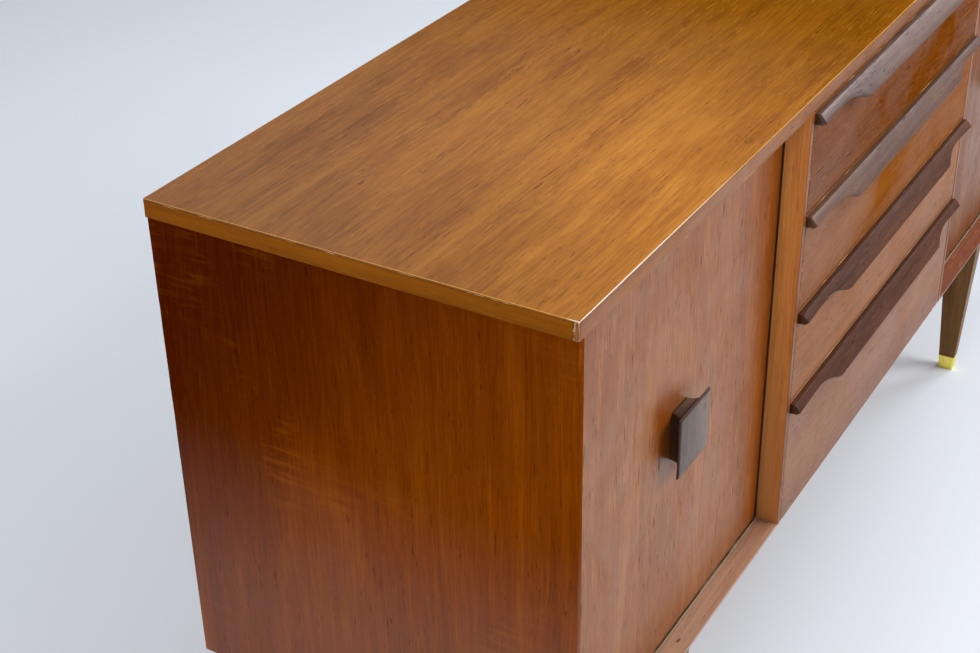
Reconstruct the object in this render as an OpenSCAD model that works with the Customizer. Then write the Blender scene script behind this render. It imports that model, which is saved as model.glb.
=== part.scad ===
// Low sideboard: four drawers in the middle, a recessed cupboard at each end,
// carved drawer handles, coved door pulls and tapered legs in brass ferrules.
// X runs along the length, -Y is the front and Z is up, in millimetres.
// The origin is on the floor, below the middle of the bounding box.

/* [Case] */
// Overall length of the top
length = 1600; // [1450:10:1800]
// Depth from the front plane to the back edge
depth = 450; // [420:5:500]
// Height of the top surface above the floor
height = 795; // [760:5:850]
// Height of the case, from its lower front edge to the top surface
case_height = 543; // [530:1:580]
// Thickness of the boards
board = 19; // [18:0.5:20]
// Overhang of the top past each end panel
overhang = 2.5; // [2:0.5:8]
// Depth of the recess in front of each door
recess = 27; // [25:1:32]
// Height of the shelves above the lower edge of the case
shelf_rise = 248; // [200:1:300]

/* [Drawers] */
// Width of the drawer bank between the stiles
bank_width = 584; // [524:5:640]
// Spacing from the top of one drawer front to the next
drawer_pitch = 118.5; // [112:0.5:122]
// Gap between one drawer front and the next
front_gap = 2.5; // [2:0.5:4]
// Space left behind the drawers
drawer_clearance = 21; // [21:1:80]

/* [Handles and pulls] */
// How far a drawer handle stands out from its drawer front
handle_reach = 21.5; // [19:0.5:24]
// How far the sloping face of a handle drops
handle_drop = 18; // [16:0.5:20]
// Distance from a handle's end to the corner where it gets deep
handle_shoulder = 109; // [90:1:130]
// Width of a door pull
pull_width = 71; // [60:1:76]
// Height of a door pull
pull_height = 71; // [62:1:80]
// How far a door pull stands out from its door
pull_reach = 19; // [18:0.5:22]

/* [Legs] */
// Front-to-back size of a leg at the top
leg_top = 50; // [40:0.5:54]
// Front-to-back size of a leg at the floor
leg_foot = 22.5; // [20:0.5:28]
// Width of a leg at the top
leg_top_width = 27; // [22:0.5:40]
// Width of a leg at the floor
leg_foot_width = 15; // [12:0.5:20]
// Distance from the middle of the case to a leg's centre line
leg_x = 530; // [460:5:600]
// Distance from the back of the recess to a front leg's centre line
leg_setback = 7; // [5:0.5:18]
// Height of the brass ferrules
ferrule_height = 23; // [15:1:35]

/* [Hidden] */
$fn = 48;
eps = 0.01;
// How far a cutting shape runs past the wood it cuts, and the size of one that clears it all.
over = 1;
far = 100;

front_y = (handle_reach - depth) / 2;
case_bottom = height - case_height;
top_under = height - board;
floor_lift = 4.5;
floor_top = case_bottom + floor_lift;
floor_bottom = floor_top - board;
nose = 3;
undercut = 8;
band = 5;

end_outer = length / 2 - overhang;
end_inner = end_outer - board;
lip_inner = end_outer - 7;
bank_half = bank_width / 2;
stile_width = 7;
bay_inner = bank_half + stile_width;
divider_inner = bay_inner - board;
divider_gap = 0.5;
divider_front = board + divider_gap;

back_margin = 9;
back_y = depth - back_margin;
back_thickness = 5;
back_drop = 10;
back_rear = front_y + back_y + back_thickness;
rebate = 6;
screw_radius = 1.5;
screw_length = 15;
screw_head_radius = 2.8;
screw_head = 2;
screw_rows = 5;
screw_lowest = 40;
screw_spacing = (case_height - 90) / (screw_rows - 1);
screw_drop = 4;
low_screw_places = [120, 430, 620];

shelf_thickness = 16;
shelf_bottom = case_bottom + shelf_rise;
shelf_front = 70;
shelf_play = 1;
shelf_back = back_y - 4;
pin_radius = 3;
pin_depth = 9;
pin_reach = 8;
pin_places = [shelf_front + 40, shelf_back - 47];

drawer_count = 4;
first_gap = 1.5;
side_gap = 1.5;
side_thickness = 13;
side_outer = divider_inner - side_gap;
side_inner = side_outer - side_thickness;
side_back = back_y - drawer_clearance;
box_rise = 12;
box_fall = 14;
box_step = 4;
bottom_thickness = 5;
bottom_rise = 8;
bottom_groove = 5;
fit = 0.1;
runner_height = 12;
runner_reach = 8;
runner_play = 0.5;
groove_depth = 7;
groove_start = 34;
runner_start = groove_start + 2;

handle_step = 0.5;
handle_land = 5.6;
handle_back = 13.5;
handle_hollow = [handle_land + 1.9, handle_back - 1.5];
handle_neck = 10;
handle_end = 11.6;
handle_waist = 60;
handle_deep = 23;
handle_lip = 6.5;
handle_half = bank_half - side_gap;
handle_slope = atan2(handle_drop, handle_reach - handle_land);

door_gap = 3;
door_play = 2.5;
latch_gap = 5;
door_outer = lip_inner - door_gap;
door_inner = bay_inner + latch_gap;
door_bottom = floor_top + door_play;
door_top = top_under - door_play;
door_back = recess + board;
lip_back = door_back + 1;
pull_shift = 9.75;
pull_x = (door_outer + door_inner) / 2 - pull_shift;
pull_lift = 8.25;
pull_z = (door_bottom + door_top) / 2 + pull_lift;
pull_plate = 3;
pull_neck_width = 34;
pull_neck_height = 56;
pull_cove = pull_reach - pull_plate;
pull_chamfer = 2;

hinge_radius = 3;
hinge_pin = 1.5;
hinge_play = 0.06;
hinge_side_gap = 0.2;
hinge_front_gap = 0.4;
hinge_x = lip_inner - hinge_radius - hinge_side_gap;
hinge_y = recess - hinge_radius - hinge_front_gap;
hinge_height = 50;
hinge_knuckle = 16;
knuckle_gap = 0.3;
hinge_leaf = 1.2;
hinge_leaf_end = recess + 15;
hinge_inset = 75;
hinge_places = [door_bottom + hinge_inset, door_top - hinge_inset];

catch_size = [40, 14, 15];
catch_x = door_inner + 10;
catch_y = door_back + 2;
strike_thickness = 1.5;
strike_margin = 4;

leg_length = floor_bottom;
leg_inset = recess + leg_setback;
back_leg_inset = leg_top / 2 + 13;
ferrule_wall = 1;
ferrule_sole = 1.5;
bolt_radius = 3;
bolt_in_leg = 30;
insert_radius = 4.5;
insert_length = 13;

top_colour = [0.62, 0.42, 0.20];
band_colour = [0.55, 0.35, 0.12];
case_colour = [0.42, 0.19, 0.06];
face_colour = [0.60, 0.38, 0.26];
stile_colour = [0.64, 0.41, 0.22];
handle_colour = [0.24, 0.14, 0.10];
leg_colour = [0.34, 0.22, 0.12];
brass_colour = [0.80, 0.70, 0.32];
steel_colour = [0.62, 0.62, 0.60];
inside_colour = [0.72, 0.58, 0.40];

// ---- places and shared shapes --------------------------------------------

// Height of the top edge of drawer front i, counted from the top.
function front_top(i) = top_under - first_gap - (i - 1) * drawer_pitch;

// Height of the lower edge of drawer front i; the last one reaches the case's lower edge.
function front_bottom(i) = i < drawer_count ? front_top(i + 1) + front_gap : case_bottom;

function box_bottom(i) = front_bottom(i) + box_rise;
function box_top(i) = front_top(i) - box_fall;
function runner_z(i) = (box_bottom(i) + box_top(i)) / 2;

// Half of a leg's size at a height above the floor, from its sizes at the floor and the top.
function leg_half(foot, top, z) = (foot + (top - foot) * z / leg_length) / 2;

// A block given by its low and high corners, with Y counted back from the front plane.
module block(low, high) {
    translate([low[0], low[1] + front_y, low[2]])
        cube(high - low);
}

// The same piece on the left of the case.
module on_left() {
    mirror([1, 0, 0])
        children();
}

// Both pieces of a left and right pair.
module both_sides() {
    children();
    on_left()
        children();
}

// A prism along X whose section is drawn in Y (from the front plane) and Z.
module prism_along_x(from_x, to_x, section) {
    translate([from_x, front_y, 0])
        rotate([90, 0, 90])
            linear_extrude(height = to_x - from_x)
                polygon(section);
}

// ---- top ------------------------------------------------------------------

module top_panel() {
    color(top_colour)
        block([band - length / 2, band, top_under], [length / 2 - band, depth, height]);
}

// The front band runs the full length and covers the ends of the side bands.
module top_edge_bands() {
    color(band_colour) {
        block([-length / 2, 0, top_under], [length / 2, band, height]);
        both_sides()
            block([length / 2 - band, band, top_under], [length / 2, depth, height]);
    }
}

// ---- case panels ------------------------------------------------------------

function screw_levels() = [
    for (row = [0:screw_rows - 1])
        case_bottom + screw_lowest + row * screw_spacing
];

// Places of the back panel's screws on the right half, as X and Z.
function screw_places() = concat(
    [for (z = screw_levels()) [end_inner + rebate / 2, z]],
    [for (z = screw_levels()) [bay_inner - board / 2, z]],
    [for (x = low_screw_places) [x, case_bottom - screw_drop]]
);

module screw_shanks() {
    both_sides()
        for (p = screw_places())
            translate([p[0], back_rear, p[1]])
                rotate([90, 0, 0])
                    cylinder(r = screw_radius, h = screw_length);
}

module back_screws() {
    color(steel_colour) {
        screw_shanks();
        both_sides()
            for (p = screw_places())
                translate([p[0], back_rear + screw_head, p[1]])
                    rotate([90, 0, 0])
                        cylinder(r = screw_head_radius, h = screw_head);
    }
}

// Shelf pins that enter the face at wall_x; direction is 1 for a wall on the right.
module shelf_pins_in(wall_x, direction) {
    for (y = pin_places)
        translate([wall_x + direction * pin_depth, front_y + y, shelf_bottom - pin_radius])
            rotate([0, -90 * direction, 0])
                cylinder(r = pin_radius, h = pin_depth + pin_reach);
}

// An end panel is thinned to a lip at the front, and the door closes behind the lip.
module end_panel() {
    difference() {
        block([end_inner, 0, case_bottom], [end_outer, depth, top_under]);
        block([end_inner - over, -over, case_bottom - over], [lip_inner, lip_back, top_under + over]);
        block(
            [end_inner - eps, back_y, case_bottom - over],
            [end_inner + rebate, depth + over, top_under + over]
        );
        shelf_pins_in(end_inner, 1);
        screw_shanks();
    }
}

module left_end_panel() {
    color(case_colour)
        on_left()
            end_panel();
}

module right_end_panel() {
    color(case_colour)
        end_panel();
}

// The bottom panel has ears that fill the thinned fronts of the end panels.
module bottom_panel() {
    color(inside_colour)
        difference() {
            union() {
                block([-end_inner, recess, floor_bottom], [end_inner, back_y, floor_top]);
                block([-lip_inner, recess, case_bottom], [lip_inner, lip_back, floor_top]);
            }
            screw_shanks();
            at_legs()
                translate([0, 0, floor_bottom - eps])
                    cylinder(r = insert_radius, h = insert_length + eps);
        }
}

// Solid rail in front of the bottom panel, planed away underneath to a thin nose.
module bottom_rail() {
    prism_along_x(bay_inner, lip_inner, [
        [0, case_bottom],
        [undercut, floor_bottom],
        [recess, floor_bottom],
        [recess, floor_top],
        [0, case_bottom + nose]
    ]);
}

module left_bottom_rail() {
    color(face_colour)
        on_left()
            bottom_rail();
}

module right_bottom_rail() {
    color(face_colour)
        bottom_rail();
}

// Divider between the drawers and a cupboard, rebated at the front for the stile.
module divider() {
    difference() {
        translate([0, front_y, floor_top])
            linear_extrude(height = top_under - floor_top)
                polygon([
                    [divider_inner, divider_front],
                    [bank_half, divider_front],
                    [bank_half, recess],
                    [bay_inner, recess],
                    [bay_inner, back_y],
                    [divider_inner, back_y]
                ]);
        shelf_pins_in(bay_inner, -1);
        screw_shanks();
    }
}

module left_divider() {
    color(inside_colour)
        on_left()
            divider();
}

module right_divider() {
    color(inside_colour)
        divider();
}

module stile() {
    block([bank_half, 0, case_bottom], [bay_inner, recess, top_under]);
}

module left_stile() {
    color(stile_colour)
        on_left()
            stile();
}

module right_stile() {
    color(stile_colour)
        stile();
}

module back_panel() {
    color(inside_colour)
        difference() {
            block(
                [-end_inner - rebate, back_y, case_bottom - back_drop],
                [end_inner + rebate, back_y + back_thickness, top_under]
            );
            screw_shanks();
        }
}

// ---- inside of the cupboards -----------------------------------------------

module shelf() {
    block(
        [bay_inner + shelf_play, shelf_front, shelf_bottom],
        [end_inner - shelf_play, shelf_back, shelf_bottom + shelf_thickness]
    );
}

module left_shelf() {
    color(inside_colour)
        on_left()
            shelf();
}

module right_shelf() {
    color(inside_colour)
        shelf();
}

module shelf_pins() {
    color(brass_colour)
        both_sides() {
            shelf_pins_in(end_inner, 1);
            shelf_pins_in(bay_inner, -1);
        }
}

module door_catches() {
    color(steel_colour)
        both_sides()
            block(
                [catch_x, catch_y, top_under - catch_size[2]],
                [catch_x + catch_size[0], catch_y + catch_size[1], top_under]
            );
}

// ---- drawer runners ----------------------------------------------------------

module drawer_runners() {
    color(inside_colour)
        both_sides()
            for (i = [1:drawer_count])
                block(
                    [divider_inner - runner_reach, runner_start, runner_z(i) - runner_height / 2],
                    [divider_inner, side_back, runner_z(i) + runner_height / 2]
                );
}

// ---- drawers -----------------------------------------------------------------

module drawer_front(i) {
    groove_z = box_bottom(i) + bottom_rise;
    color(face_colour)
        difference() {
            block([-handle_half, 0, front_bottom(i)], [handle_half, board, front_top(i)]);
            block(
                [-side_inner - bottom_groove, board - bottom_groove, groove_z - fit],
                [side_inner + bottom_groove, board + over, groove_z + bottom_thickness + fit]
            );
        }
}

// A pair of sides, each with a groove outside for the runner and one inside for the bottom.
module drawer_sides(i) {
    groove_z = box_bottom(i) + bottom_rise;
    slot = runner_height / 2 + runner_play;
    color(inside_colour)
        both_sides()
            difference() {
                block([side_inner, board, box_bottom(i)], [side_outer, side_back, box_top(i)]);
                block(
                    [side_outer - groove_depth, groove_start, runner_z(i) - slot],
                    [side_outer + over, side_back + over, runner_z(i) + slot]
                );
                block(
                    [side_inner - over, board - over, groove_z - fit],
                    [side_inner + bottom_groove, side_back + over, groove_z + bottom_thickness + fit]
                );
            }
}

// The back stands on the bottom and is a little lower than the sides.
module drawer_back(i) {
    low = box_bottom(i) + bottom_rise + bottom_thickness + fit;
    color(inside_colour)
        block([-side_inner, side_back - side_thickness, low], [side_inner, side_back, box_top(i) - box_step]);
}

module drawer_bottom(i) {
    reach = side_inner + bottom_groove - fit;
    color(inside_colour)
        block(
            [-reach, board - bottom_groove + fit, box_bottom(i) + bottom_rise],
            [reach, side_back, box_bottom(i) + bottom_rise + bottom_thickness]
        );
}

// ---- handles -------------------------------------------------------------------

// Section of the deep middle of a handle: a flat top, a sloping face and a lip
// that is hollowed behind for the fingers.
function handle_section() = [
    [0, 0],
    [-handle_land, 0],
    [-handle_reach, -handle_drop],
    [
        -handle_reach + handle_lip * sin(handle_slope),
        -handle_drop - handle_lip * cos(handle_slope)
    ],
    -handle_hollow,
    [0, -handle_back]
];

// Everything below the sweeping lower edge at the right end, cut square to the face.
module handle_end_cut() {
    run = handle_shoulder - handle_waist;
    rise = handle_deep - handle_neck;
    sweep = (run * run + rise * rise) / (2 * rise);
    waist_x = handle_half - handle_waist;
    translate([0, front_y - handle_land, 0])
        rotate([handle_slope - 90, 0, 0]) {
            intersection() {
                translate([waist_x, 0, -handle_neck - sweep])
                    rotate([90, 0, 0])
                        cylinder(r = sweep, h = far, center = true, $fn = 180);
                translate([waist_x - run, -far / 2, -far])
                    cube([run, far, far]);
            }
            rotate([90, 0, 0])
                linear_extrude(height = far, center = true)
                    polygon([
                        [waist_x - eps, -handle_neck],
                        [handle_half + over, -handle_end],
                        [handle_half + over, -far],
                        [waist_x - eps, -far]
                    ]);
        }
}

module drawer_handle(i) {
    color(handle_colour)
        translate([0, 0, front_top(i) - handle_step])
            difference() {
                prism_along_x(-handle_half, handle_half, handle_section());
                handle_end_cut();
                on_left()
                    handle_end_cut();
            }
}

// ---- doors -----------------------------------------------------------------------

module door() {
    block([door_inner, recess, door_bottom], [door_outer, door_back, door_top]);
}

module left_door() {
    color(face_colour)
        on_left()
            door();
}

module right_door() {
    color(face_colour)
        door();
}

// One long chamfer along the top edge of the pull's face.
module pull_chamfer_cut(half_length) {
    translate([0, -pull_reach, 0])
        rotate([90, 0, 90])
            linear_extrude(height = 2 * (half_length + over), center = true)
                polygon([
                    [-over, -pull_chamfer],
                    [0, -pull_chamfer],
                    [pull_chamfer, 0],
                    [pull_chamfer, over],
                    [-over, over]
                ]);
}

// A square plate on a neck that is hollowed on all four sides.
module pull() {
    half_w = pull_width / 2;
    half_h = pull_height / 2;
    neck_w = pull_neck_width / 2;
    neck_h = pull_neck_height / 2;
    cove_h = half_h - neck_h;
    translate([pull_x, front_y + recess, pull_z])
        difference() {
            translate([-half_w, -pull_reach, -half_h])
                cube([pull_width, pull_reach, pull_height]);
            for (side = [-1, 1]) {
                translate([side * (neck_w + pull_cove), 0, 0])
                    cylinder(r = pull_cove, h = far, center = true);
                translate([side * (neck_w + pull_cove + far / 2), far / 2 - pull_cove, 0])
                    cube(far, center = true);
                translate([0, cove_h - pull_cove, side * half_h])
                    rotate([0, 90, 0])
                        cylinder(r = cove_h, h = far, center = true);
                translate([0, cove_h - pull_cove + far / 2, side * (neck_h + far / 2)])
                    cube(far, center = true);
            }
            for (turn = [0, 180])
                rotate([0, turn, 0])
                    translate([0, 0, half_h])
                        pull_chamfer_cut(half_w);
            for (turn = [90, 270])
                rotate([0, turn, 0])
                    translate([0, 0, half_w])
                        pull_chamfer_cut(half_h);
        }
}

module left_pull() {
    color(handle_colour)
        on_left()
            pull();
}

module right_pull() {
    color(handle_colour)
        pull();
}

module strike_plate() {
    block(
        [catch_x + strike_margin, door_back, top_under - catch_size[2]],
        [catch_x + catch_size[0] - strike_margin, door_back + strike_thickness, top_under - strike_margin]
    );
}

module left_strike_plate() {
    color(steel_colour)
        on_left()
            strike_plate();
}

module right_strike_plate() {
    color(steel_colour)
        strike_plate();
}

// ---- hinges ------------------------------------------------------------------------

// Upright cylinder on the hinge axis, centred on a height.
module on_hinge_axis(z, radius, tall) {
    translate([hinge_x, front_y + hinge_y, z])
        cylinder(r = radius, h = tall, center = true);
}

module hinge_pins() {
    color(brass_colour)
        both_sides()
            for (z = hinge_places)
                on_hinge_axis(z, hinge_pin, hinge_height + 2 * over);
}

// Leaf on the end panel, with the two outer knuckles.
module hinge_case_leaf(z) {
    knuckle = (hinge_height - hinge_knuckle) / 2 - knuckle_gap;
    opening = hinge_knuckle / 2 + knuckle_gap;
    offset_z = hinge_height / 2 - knuckle / 2;
    difference() {
        union() {
            block(
                [lip_inner - hinge_leaf, hinge_y, z - hinge_height / 2],
                [lip_inner, hinge_leaf_end, z + hinge_height / 2]
            );
            for (side = [-1, 1])
                on_hinge_axis(z + side * offset_z, hinge_radius, knuckle);
        }
        block(
            [door_outer, 0, z - opening],
            [lip_inner + over, recess + over, z + opening]
        );
        on_hinge_axis(z, hinge_pin, far);
    }
}

// Leaf on the door's edge, with the middle knuckle.
module hinge_door_leaf(z) {
    difference() {
        union() {
            block(
                [door_outer, recess + hinge_front_gap, z - hinge_height / 2],
                [door_outer + hinge_leaf, hinge_leaf_end, z + hinge_height / 2]
            );
            block(
                [door_outer, hinge_y, z - hinge_knuckle / 2],
                [door_outer + hinge_leaf, hinge_leaf_end, z + hinge_knuckle / 2]
            );
            on_hinge_axis(z, hinge_radius, hinge_knuckle);
        }
        on_hinge_axis(z, hinge_pin + hinge_play, far);
    }
}

module left_hinge_case_leaves() {
    color(brass_colour)
        on_left()
            for (z = hinge_places)
                hinge_case_leaf(z);
}

module right_hinge_case_leaves() {
    color(brass_colour)
        for (z = hinge_places)
            hinge_case_leaf(z);
}

module left_hinge_door_leaves() {
    color(brass_colour)
        on_left()
            for (z = hinge_places)
                hinge_door_leaf(z);
}

module right_hinge_door_leaves() {
    color(brass_colour)
        for (z = hinge_places)
            hinge_door_leaf(z);
}

// ---- legs ----------------------------------------------------------------------------

// Moves a piece made on the origin to one leg; side is -1 or 1, row is 0 at the front.
module at_leg(side, row) {
    translate([side * leg_x, front_y + (row == 0 ? leg_inset : depth - back_leg_inset), 0])
        children();
}

module at_legs() {
    for (side = [-1, 1])
        for (row = [0, 1])
            at_leg(side, row)
                children();
}

// Outline of a leg between two heights, set in from the leg's own faces by inset.
function leg_outline(foot, top, from_z, to_z, inset) =
    let (low = leg_half(foot, top, from_z) - inset, high = leg_half(foot, top, to_z) - inset)
    [[-low, from_z], [low, from_z], [high, to_z], [-high, to_z]];

// A leg tapers on all four sides and is deeper from front to back than it is wide.
module leg_taper(from_z, to_z, inset) {
    intersection() {
        rotate([90, 0, 0])
            linear_extrude(height = 2 * leg_top, center = true)
                polygon(leg_outline(leg_foot_width, leg_top_width, from_z, to_z, inset));
        rotate([90, 0, 90])
            linear_extrude(height = 2 * leg_top, center = true)
                polygon(leg_outline(leg_foot, leg_top, from_z, to_z, inset));
    }
}

// The foot of the leg is cut down to a tenon that fills the ferrule.
module leg(side, row) {
    color(leg_colour)
        at_leg(side, row)
            difference() {
                union() {
                    leg_taper(ferrule_height, leg_length, 0);
                    leg_taper(ferrule_sole, ferrule_height + over, ferrule_wall);
                }
                translate([0, 0, leg_length - bolt_in_leg])
                    cylinder(r = bolt_radius, h = bolt_in_leg + over);
            }
}

module ferrule(side, row) {
    color(brass_colour)
        at_leg(side, row)
            difference() {
                leg_taper(0, ferrule_height, 0);
                leg_taper(ferrule_sole, ferrule_height + over, ferrule_wall);
            }
}

module front_left_leg() {
    leg(-1, 0);
}

module front_right_leg() {
    leg(1, 0);
}

module back_left_leg() {
    leg(-1, 1);
}

module back_right_leg() {
    leg(1, 1);
}

module front_left_ferrule() {
    ferrule(-1, 0);
}

module front_right_ferrule() {
    ferrule(1, 0);
}

module back_left_ferrule() {
    ferrule(-1, 1);
}

module back_right_ferrule() {
    ferrule(1, 1);
}

// Threaded sleeves in the bottom panel that take the legs' bolts.
module leg_inserts() {
    color(steel_colour)
        at_legs()
            translate([0, 0, floor_bottom])
                difference() {
                    cylinder(r = insert_radius, h = insert_length);
                    translate([0, 0, -over])
                        cylinder(r = bolt_radius, h = insert_length + 2 * over);
                }
}

module leg_bolts() {
    color(steel_colour)
        at_legs()
            translate([0, 0, leg_length - bolt_in_leg])
                cylinder(r = bolt_radius, h = bolt_in_leg + insert_length - over);
}

// ---- what is drawn ---------------------------------------------------------------------

top_panel();
top_edge_bands();
left_end_panel();
right_end_panel();
bottom_panel();
left_bottom_rail();
right_bottom_rail();
left_divider();
right_divider();
left_stile();
right_stile();
back_panel();
back_screws();
drawer_runners();
left_shelf();
right_shelf();
shelf_pins();
front_left_leg();
front_right_leg();
back_left_leg();
back_right_leg();
front_left_ferrule();
front_right_ferrule();
back_left_ferrule();
back_right_ferrule();
leg_inserts();
leg_bolts();
left_hinge_case_leaves();
right_hinge_case_leaves();
hinge_pins();
door_catches();
left_door();
right_door();
left_pull();
right_pull();
left_hinge_door_leaves();
right_hinge_door_leaves();
left_strike_plate();
right_strike_plate();
for (i = [1:drawer_count]) {
    drawer_front(i);
    drawer_sides(i);
    drawer_back(i);
    drawer_bottom(i);
    drawer_handle(i);
}
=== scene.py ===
import math

import bmesh
import bpy
from mathutils import Euler, Matrix, Vector, noise


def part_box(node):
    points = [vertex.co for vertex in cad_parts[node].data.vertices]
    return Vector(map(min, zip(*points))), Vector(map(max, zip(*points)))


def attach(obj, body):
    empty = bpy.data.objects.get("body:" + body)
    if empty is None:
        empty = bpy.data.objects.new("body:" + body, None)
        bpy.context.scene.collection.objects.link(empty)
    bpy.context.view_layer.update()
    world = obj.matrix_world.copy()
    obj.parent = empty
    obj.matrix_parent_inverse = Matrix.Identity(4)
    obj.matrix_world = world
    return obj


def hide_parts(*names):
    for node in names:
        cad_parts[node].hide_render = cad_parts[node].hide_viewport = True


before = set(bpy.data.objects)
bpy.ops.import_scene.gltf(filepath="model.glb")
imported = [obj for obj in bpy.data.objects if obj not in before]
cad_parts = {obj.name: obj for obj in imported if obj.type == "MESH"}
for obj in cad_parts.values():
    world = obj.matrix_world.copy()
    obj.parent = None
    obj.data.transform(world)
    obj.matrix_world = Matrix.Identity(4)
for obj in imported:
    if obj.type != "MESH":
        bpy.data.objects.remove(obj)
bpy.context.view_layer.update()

MM = 0.001
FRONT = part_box("drawer_1_front")[0].y
SCENE = bpy.context.scene

# ---- camera ----

# The photo's camera: its place in metres, its turns about X, Y and Z in degrees and its lens in mm.
CAMERA_PLACE = Vector((-1.8306, -0.7572, 1.4986))
CAMERA_TURNS = (58.741, 1.008, -59.335)
CAMERA_LENS = 62.97
SENSOR_WIDTH = 36.0
FAR_CLIP = 60.0

camera = bpy.data.objects.new("camera", bpy.data.cameras.new("camera"))
camera.data.lens = CAMERA_LENS
camera.data.sensor_width = SENSOR_WIDTH
camera.data.clip_end = FAR_CLIP
turn = Euler([math.radians(angle) for angle in CAMERA_TURNS])
camera.matrix_world = Matrix.LocRotScale(CAMERA_PLACE, turn, None)
SCENE.collection.objects.link(camera)
SCENE.camera = camera
SCENE.view_settings.view_transform = "Standard"


# ---- node materials ----

def srgb(r, g, b):
    """A display colour, 0 to 255, as the linear colour that shaders take."""
    def linear(c):
        c = c / 255
        return c / 12.92 if c <= 0.04045 else ((c + 0.055) / 1.055) ** 2.4
    return (linear(r), linear(g), linear(b), 1.0)


class Shader:
    """A material's node tree, with one Principled shader and short calls that add nodes.

    The functions below call it s.
    """

    def __init__(self, name):
        self.material = bpy.data.materials.new(name)
        self.material.use_nodes = True
        self.tree = self.material.node_tree
        self.shader = self.tree.nodes["Principled BSDF"]
        self.place = self.tree.nodes.new("ShaderNodeTexCoord").outputs["Object"]

    def node(self, kind, inputs=(), **settings):
        made = self.tree.nodes.new(kind)
        for key, value in settings.items():
            setattr(made, key, value)
        for key, value in dict(inputs).items():
            self.put(made.inputs[key], value)
        return made

    def put(self, socket, value):
        if isinstance(value, bpy.types.NodeSocket):
            self.tree.links.new(value, socket)
        else:
            socket.default_value = value

    def set(self, **values):
        """Sets the shader's sockets; an underscore stands for a space."""
        for key, value in values.items():
            self.put(self.shader.inputs[key.replace("_", " ")], value)

    def math(self, operation, a, b=0.0, clamp=False):
        return self.node("ShaderNodeMath", {0: a, 1: b}, operation=operation, use_clamp=clamp).outputs[0]

    def stretch(self, scale, shift=(0, 0, 0)):
        return self.node(
            "ShaderNodeMapping", {"Vector": self.place, "Scale": scale, "Location": shift}
        ).outputs[0]

    def noise(self, vector, scale=1.0, detail=3.0, rough=0.5, twist=0.0):
        return self.node("ShaderNodeTexNoise", {
            "Vector": vector, "Scale": scale, "Detail": detail, "Roughness": rough, "Distortion": twist,
        }).outputs["Fac"]

    def band(self, value, low, high, to_low=0.0, to_high=1.0):
        """value, from low to high, as a smooth step from to_low to to_high."""
        return self.node("ShaderNodeMapRange", {
            "Value": value, "From Min": low, "From Max": high, "To Min": to_low, "To Max": to_high,
        }, interpolation_type="SMOOTHSTEP").outputs[0]

    def ramp(self, value, stops):
        made = self.node("ShaderNodeValToRGB", {"Fac": value})
        elements = made.color_ramp.elements
        while len(elements) < len(stops):
            elements.new(0.5)
        for element, (at, colour) in zip(elements, stops):
            element.position = at
            element.color = colour
        return made.outputs["Color"]

    def mix(self, share, a, b, blend="MIX"):
        made = self.node("ShaderNodeMix", data_type="RGBA", blend_type=blend)
        self.put(made.inputs[0], share)
        self.put(made.inputs[6], a)
        self.put(made.inputs[7], b)
        return made.outputs[2]

    def bump(self, height, strength, distance):
        made = self.node("ShaderNodeBump", {"Height": height, "Strength": strength, "Distance": distance})
        self.set(Normal=made.outputs[0])

    def attribute(self, name):
        return self.node("ShaderNodeAttribute", attribute_name=name).outputs["Fac"]

    def axis(self, vector, name):
        return self.node("ShaderNodeSeparateXYZ", {0: vector}).outputs[name]


def along(axis, with_grain, across):
    """Scales of a pattern that runs along an axis."""
    return tuple(with_grain if name == axis else across for name in "xyz")


# How much each layer of grain adds to a wood's tone.
BROAD_SHARE = 0.46
STREAK_SHARE = 0.30
FIBRE_SHARE = 0.26
BLOTCH_SHARE = 0.14
GRAIN_BEND = 0.045
RING_DENSITY = 46.0


def ring_figure(s, grain, bent, push, shift, across, heart, start, steep):
    """Growth rings round a heart, which close over each other along the grain."""
    side = s.math("SUBTRACT", s.axis(bent, across.upper()), heart)
    along_grain = s.axis(s.place, grain.upper())
    run = s.math("MULTIPLY", s.math("SUBTRACT", along_grain, start), steep)
    squares = s.math("ADD", s.math("MULTIPLY", side, side), s.math("MULTIPLY", run, run))
    radius = s.math("ADD", s.math("SQRT", squares), s.math("MULTIPLY", push, 0.8))
    growth = s.node("ShaderNodeCombineXYZ", {
        0: s.math("MULTIPLY", radius, RING_DENSITY), 1: s.math("MULTIPLY", along_grain, 1.2), 2: shift[0],
    }).outputs[0]
    return s.noise(growth, detail=4.0, rough=0.62)


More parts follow.
